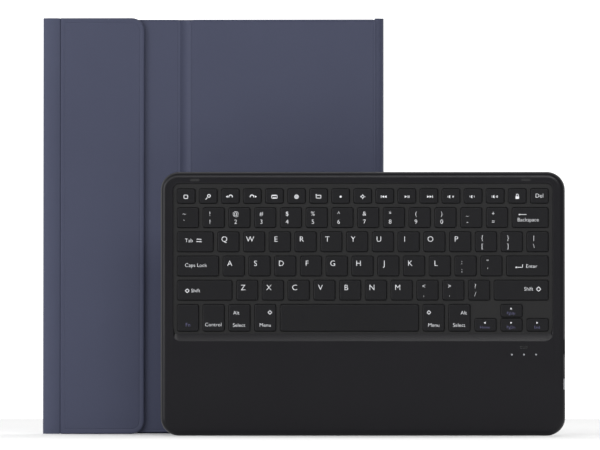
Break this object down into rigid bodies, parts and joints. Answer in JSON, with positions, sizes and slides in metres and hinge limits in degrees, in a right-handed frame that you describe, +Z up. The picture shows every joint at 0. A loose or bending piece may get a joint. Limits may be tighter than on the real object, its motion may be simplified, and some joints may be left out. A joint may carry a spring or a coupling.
{
  "type": "tablet keyboard case",
  "caption": "Standing soft folio case with a folded-back latch flap and a tablet tray, and a detachable thin keyboard stood upright in front of it.",
  "frame": {"origin": "middle of the whole set's footprint, on the surface it stands on", "axes": "+Z up, -Y towards the viewer of the folio's front, +X along the folio's width towards its spine"},
  "size_m": [0.3616, 0.1314, 0.292],
  "materials": {
    "navy_leather": "soft grained synthetic leather, matt",
    "stiff_board": "grey fibreboard, sealed inside",
    "lining_cloth": "short suede-like microfibre",
    "magnet_steel": "plated magnets and thin steel plates",
    "tray_plastic": "matt moulded plastic",
    "case_plastic": "fine matt moulded plastic",
    "deck_plastic": "matt moulded plastic",
    "key_plastic": "matt keycaps with pale printed legends",
    "rubber_black": "matt rubber",
    "plate_steel": "pressed sheet",
    "film": "printed polyester film",
    "dome_rubber": "translucent grey silicone",
    "link_plastic": "white moulded plastic",
    "circuit_green": "solder-masked board",
    "cell_foil": "foil pouch",
    "socket_steel": "plated shell",
    "light_lens": "milky light pipes and a dark window"
  },
  "bodies": {
    "wide_panel": {"wide_panel_skin": "navy_leather", "wide_panel_board": "stiff_board", "wide_panel_lining": "lining_cloth", "dock_magnets": "magnet_steel"},
    "narrow_panel": {"narrow_panel_skin": "navy_leather", "narrow_panel_board": "stiff_board", "narrow_panel_lining": "lining_cloth"},
    "spine": {"spine_skin": "navy_leather", "spine_board": "stiff_board"},
    "back_cover": {"back_cover_skin": "navy_leather", "back_cover_board": "stiff_board", "back_cover_lining": "lining_cloth", "latch_plates": "magnet_steel", "tablet_tray": "tray_plastic"},
    "strip_inner": {"strip_inner": "navy_leather"},
    "strip_outer": {"strip_outer": "navy_leather"},
    "flap": {"flap_skin": "navy_leather", "flap_board": "stiff_board", "flap_lining": "navy_leather", "flap_magnets": "magnet_steel"},
    "keyboard": {"top_case": "case_plastic", "key_deck": "deck_plastic", "keyboard_base": "case_plastic", "support_plate": "plate_steel", "membrane_sheet": "film", "rubber_domes": "dome_rubber", "scissor_links": "link_plastic", "circuit_board": "circuit_green", "battery_cell": "cell_foil", "flat_cable": "film", "charging_socket": "socket_steel", "switch_body": "socket_steel", "indicator_lights": "light_lens", "bumper_pads": "rubber_black", "base_feet": "rubber_black", "base_screws": "magnet_steel", "keyboard_magnets": "magnet_steel"},
    "power_switch": {"power_switch_knob": "key_plastic"},
    "space_bar": {"space_bar": "key_plastic"},
    "left_shift_key": {"left_shift_key": "key_plastic"},
    "right_shift_key": {"right_shift_key": "key_plastic"},
    "enter_key": {"enter_key": "key_plastic"},
    "caps_lock_key": {"caps_lock_key": "key_plastic"},
    "tab_key": {"tab_key": "key_plastic"},
    "backspace_key": {"backspace_key": "key_plastic"},
    "fn_key": {"fn_key": "key_plastic"},
    "control_key": {"control_key": "key_plastic"},
    "left_alt_key": {"left_alt_key": "key_plastic"},
    "left_menu_key": {"left_menu_key": "key_plastic"},
    "right_menu_key": {"right_menu_key": "key_plastic"},
    "right_alt_key": {"right_alt_key": "key_plastic"},
    "arrow_left_key": {"arrow_left_key": "key_plastic"},
    "arrow_up_key": {"arrow_up_key": "key_plastic"},
    "arrow_down_key": {"arrow_down_key": "key_plastic"},
    "arrow_right_key": {"arrow_right_key": "key_plastic"},
    "function_keys": {"function_keys": "key_plastic"},
    "number_keys": {"number_keys": "key_plastic"},
    "top_letter_keys": {"top_letter_keys": "key_plastic"},
    "home_letter_keys": {"home_letter_keys": "key_plastic"},
    "bottom_letter_keys": {"bottom_letter_keys": "key_plastic"}
  },
  "joints": [
    {"name": "back_spine_swing", "type": "hinge", "parent": "wide_panel", "child": "spine", "pos_m": [0.05685, 0.0447, 0], "axis": [0, 0, -1], "range_deg": [0, 90]},
    {"name": "back_cover_swing", "type": "hinge", "parent": "spine", "child": "back_cover", "pos_m": [0.05685, 0.0657, 0], "axis": [0, 0, -1], "range_deg": [0, 90]},
    {"name": "narrow_panel_fold", "type": "hinge", "parent": "wide_panel", "child": "narrow_panel", "pos_m": [-0.08245, 0.0447, 0], "axis": [0, 0, 1], "range_deg": [0, 150]},
    {"name": "flap_wrap", "type": "hinge", "parent": "narrow_panel", "child": "strip_inner", "pos_m": [-0.17055, 0.0461, 0], "axis": [0, 0, -1], "range_deg": [0, 90]},
    {"name": "strip_turn", "type": "hinge", "parent": "strip_inner", "child": "strip_outer", "pos_m": [-0.18115, 0.0446, 0], "axis": [0, 0, -1], "range_deg": [0, 180]},
    {"name": "flap_crease", "type": "hinge", "parent": "strip_outer", "child": "flap", "pos_m": [-0.17035, 0.0431, 0], "axis": [0, 0, -1], "range_deg": [0, 90]},
    {"name": "keyboard_lift", "type": "slide", "parent": "wide_panel", "child": "keyboard", "axis": [0, 0, 1], "range_m": [0, 0.12]},
    {"name": "power_switch_slide", "type": "slide", "parent": "keyboard", "child": "power_switch", "axis": [0, 0, -1], "range_m": [0, 0.003]},
    {"name": "press_space_bar", "type": "slide", "parent": "keyboard", "child": "space_bar", "axis": [0, 1, 0], "range_m": [0, 0.0013], "stiffness_N_per_m": 450},
    {"name": "press_left_shift", "type": "slide", "parent": "keyboard", "child": "left_shift_key", "axis": [0, 1, 0], "range_m": [0, 0.0013], "stiffness_N_per_m": 450},
    {"name": "press_right_shift", "type": "slide", "parent": "keyboard", "child": "right_shift_key", "axis": [0, 1, 0], "range_m": [0, 0.0013], "stiffness_N_per_m": 450},
    {"name": "press_enter", "type": "slide", "parent": "keyboard", "child": "enter_key", "axis": [0, 1, 0], "range_m": [0, 0.0013], "stiffness_N_per_m": 450},
    {"name": "press_caps_lock", "type": "slide", "parent": "keyboard", "child": "caps_lock_key", "axis": [0, 1, 0], "range_m": [0, 0.0013], "stiffness_N_per_m": 450},
    {"name": "press_tab", "type": "slide", "parent": "keyboard", "child": "tab_key", "axis": [0, 1, 0], "range_m": [0, 0.0013], "stiffness_N_per_m": 450},
    {"name": "press_backspace", "type": "slide", "parent": "keyboard", "child": "backspace_key", "axis": [0, 1, 0], "range_m": [0, 0.0013], "stiffness_N_per_m": 450},
    {"name": "press_fn", "type": "slide", "parent": "keyboard", "child": "fn_key", "axis": [0, 1, 0], "range_m": [0, 0.0013], "stiffness_N_per_m": 450},
    {"name": "press_control", "type": "slide", "parent": "keyboard", "child": "control_key", "axis": [0, 1, 0], "range_m": [0, 0.0013], "stiffness_N_per_m": 450},
    {"name": "press_left_alt", "type": "slide", "parent": "keyboard", "child": "left_alt_key", "axis": [0, 1, 0], "range_m": [0, 0.0013], "stiffness_N_per_m": 450},
    {"name": "press_left_menu", "type": "slide", "parent": "keyboard", "child": "left_menu_key", "axis": [0, 1, 0], "range_m": [0, 0.0013], "stiffness_N_per_m": 450},
    {"name": "press_right_menu", "type": "slide", "parent": "keyboard", "child": "right_menu_key", "axis": [0, 1, 0], "range_m": [0, 0.0013], "stiffness_N_per_m": 450},
    {"name": "press_right_alt", "type": "slide", "parent": "keyboard", "child": "right_alt_key", "axis": [0, 1, 0], "range_m": [0, 0.0013], "stiffness_N_per_m": 450},
    {"name": "press_arrow_left", "type": "slide", "parent": "keyboard", "child": "arrow_left_key", "axis": [0, 1, 0], "range_m": [0, 0.0013], "stiffness_N_per_m": 450},
    {"name": "press_arrow_up", "type": "slide", "parent": "keyboard", "child": "arrow_up_key", "axis": [0, 1, 0], "range_m": [0, 0.0013], "stiffness_N_per_m": 450},
    {"name": "press_arrow_down", "type": "slide", "parent": "keyboard", "child": "arrow_down_key", "axis": [0, 1, 0], "range_m": [0, 0.0013], "stiffness_N_per_m": 450},
    {"name": "press_arrow_right", "type": "slide", "parent": "keyboard", "child": "arrow_right_key", "axis": [0, 1, 0], "range_m": [0, 0.0013], "stiffness_N_per_m": 450},
    {"name": "press_function_row", "type": "slide", "parent": "keyboard", "child": "function_keys", "axis": [0, 1, 0], "range_m": [0, 0.0013], "stiffness_N_per_m": 450},
    {"name": "press_number_row", "type": "slide", "parent": "keyboard", "child": "number_keys", "axis": [0, 1, 0], "range_m": [0, 0.0013], "stiffness_N_per_m": 450},
    {"name": "press_top_letter_row", "type": "slide", "parent": "keyboard", "child": "top_letter_keys", "axis": [0, 1, 0], "range_m": [0, 0.0013], "stiffness_N_per_m": 450},
    {"name": "press_home_letter_row", "type": "slide", "parent": "keyboard", "child": "home_letter_keys", "axis": [0, 1, 0], "range_m": [0, 0.0013], "stiffness_N_per_m": 450},
    {"name": "press_bottom_letter_row", "type": "slide", "parent": "keyboard", "child": "bottom_letter_keys", "axis": [0, 1, 0], "range_m": [0, 0.0013], "stiffness_N_per_m": 450}
  ],
  "couplings": [
    {"joint": "strip_turn", "follows": "flap_wrap", "ratio": 2},
    {"joint": "flap_crease", "follows": "flap_wrap", "ratio": 1}
  ]
}
